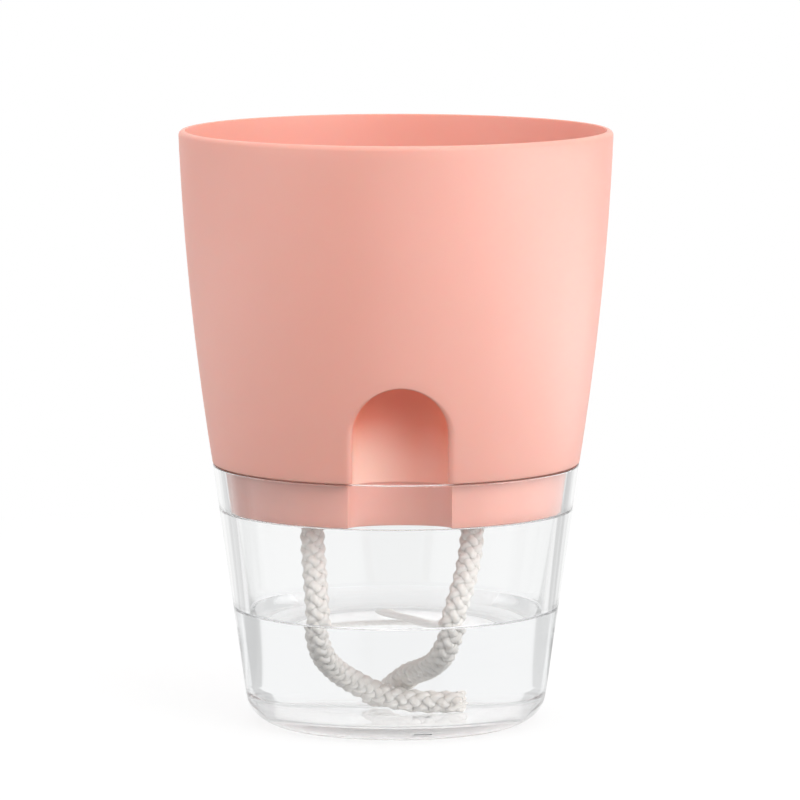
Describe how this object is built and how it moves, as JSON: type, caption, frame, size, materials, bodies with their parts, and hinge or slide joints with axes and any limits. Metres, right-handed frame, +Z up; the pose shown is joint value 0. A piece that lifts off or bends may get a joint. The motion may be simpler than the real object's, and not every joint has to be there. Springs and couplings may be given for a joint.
{
  "type": "self-watering pot",
  "caption": "Tapered planter with an arched filling niche, standing in a clear reservoir, with a rope wick that hangs from its floor into the water.",
  "frame": {"origin": "on the ground, under the middle of the reservoir's foot", "axes": "+Z up along the pot's axis, -Y towards the filling niche, +X to the right as seen from the niche"},
  "size_m": [0.1298, 0.1298, 0.1785],
  "materials": {
    "clear_plastic": "clear, polished, thick-walled",
    "pink_plastic": "matte, lightly satin",
    "cotton_rope": "laid natural cotton"
  },
  "bodies": {
    "reservoir": {"reservoir": "clear_plastic"},
    "planter": {"planter": "pink_plastic", "wick": "cotton_rope"}
  },
  "joints": [
    {"name": "lift_out", "type": "slide", "parent": "reservoir", "child": "planter", "axis": [0, 0, 1], "range_m": [0, 0.1]}
  ]
}
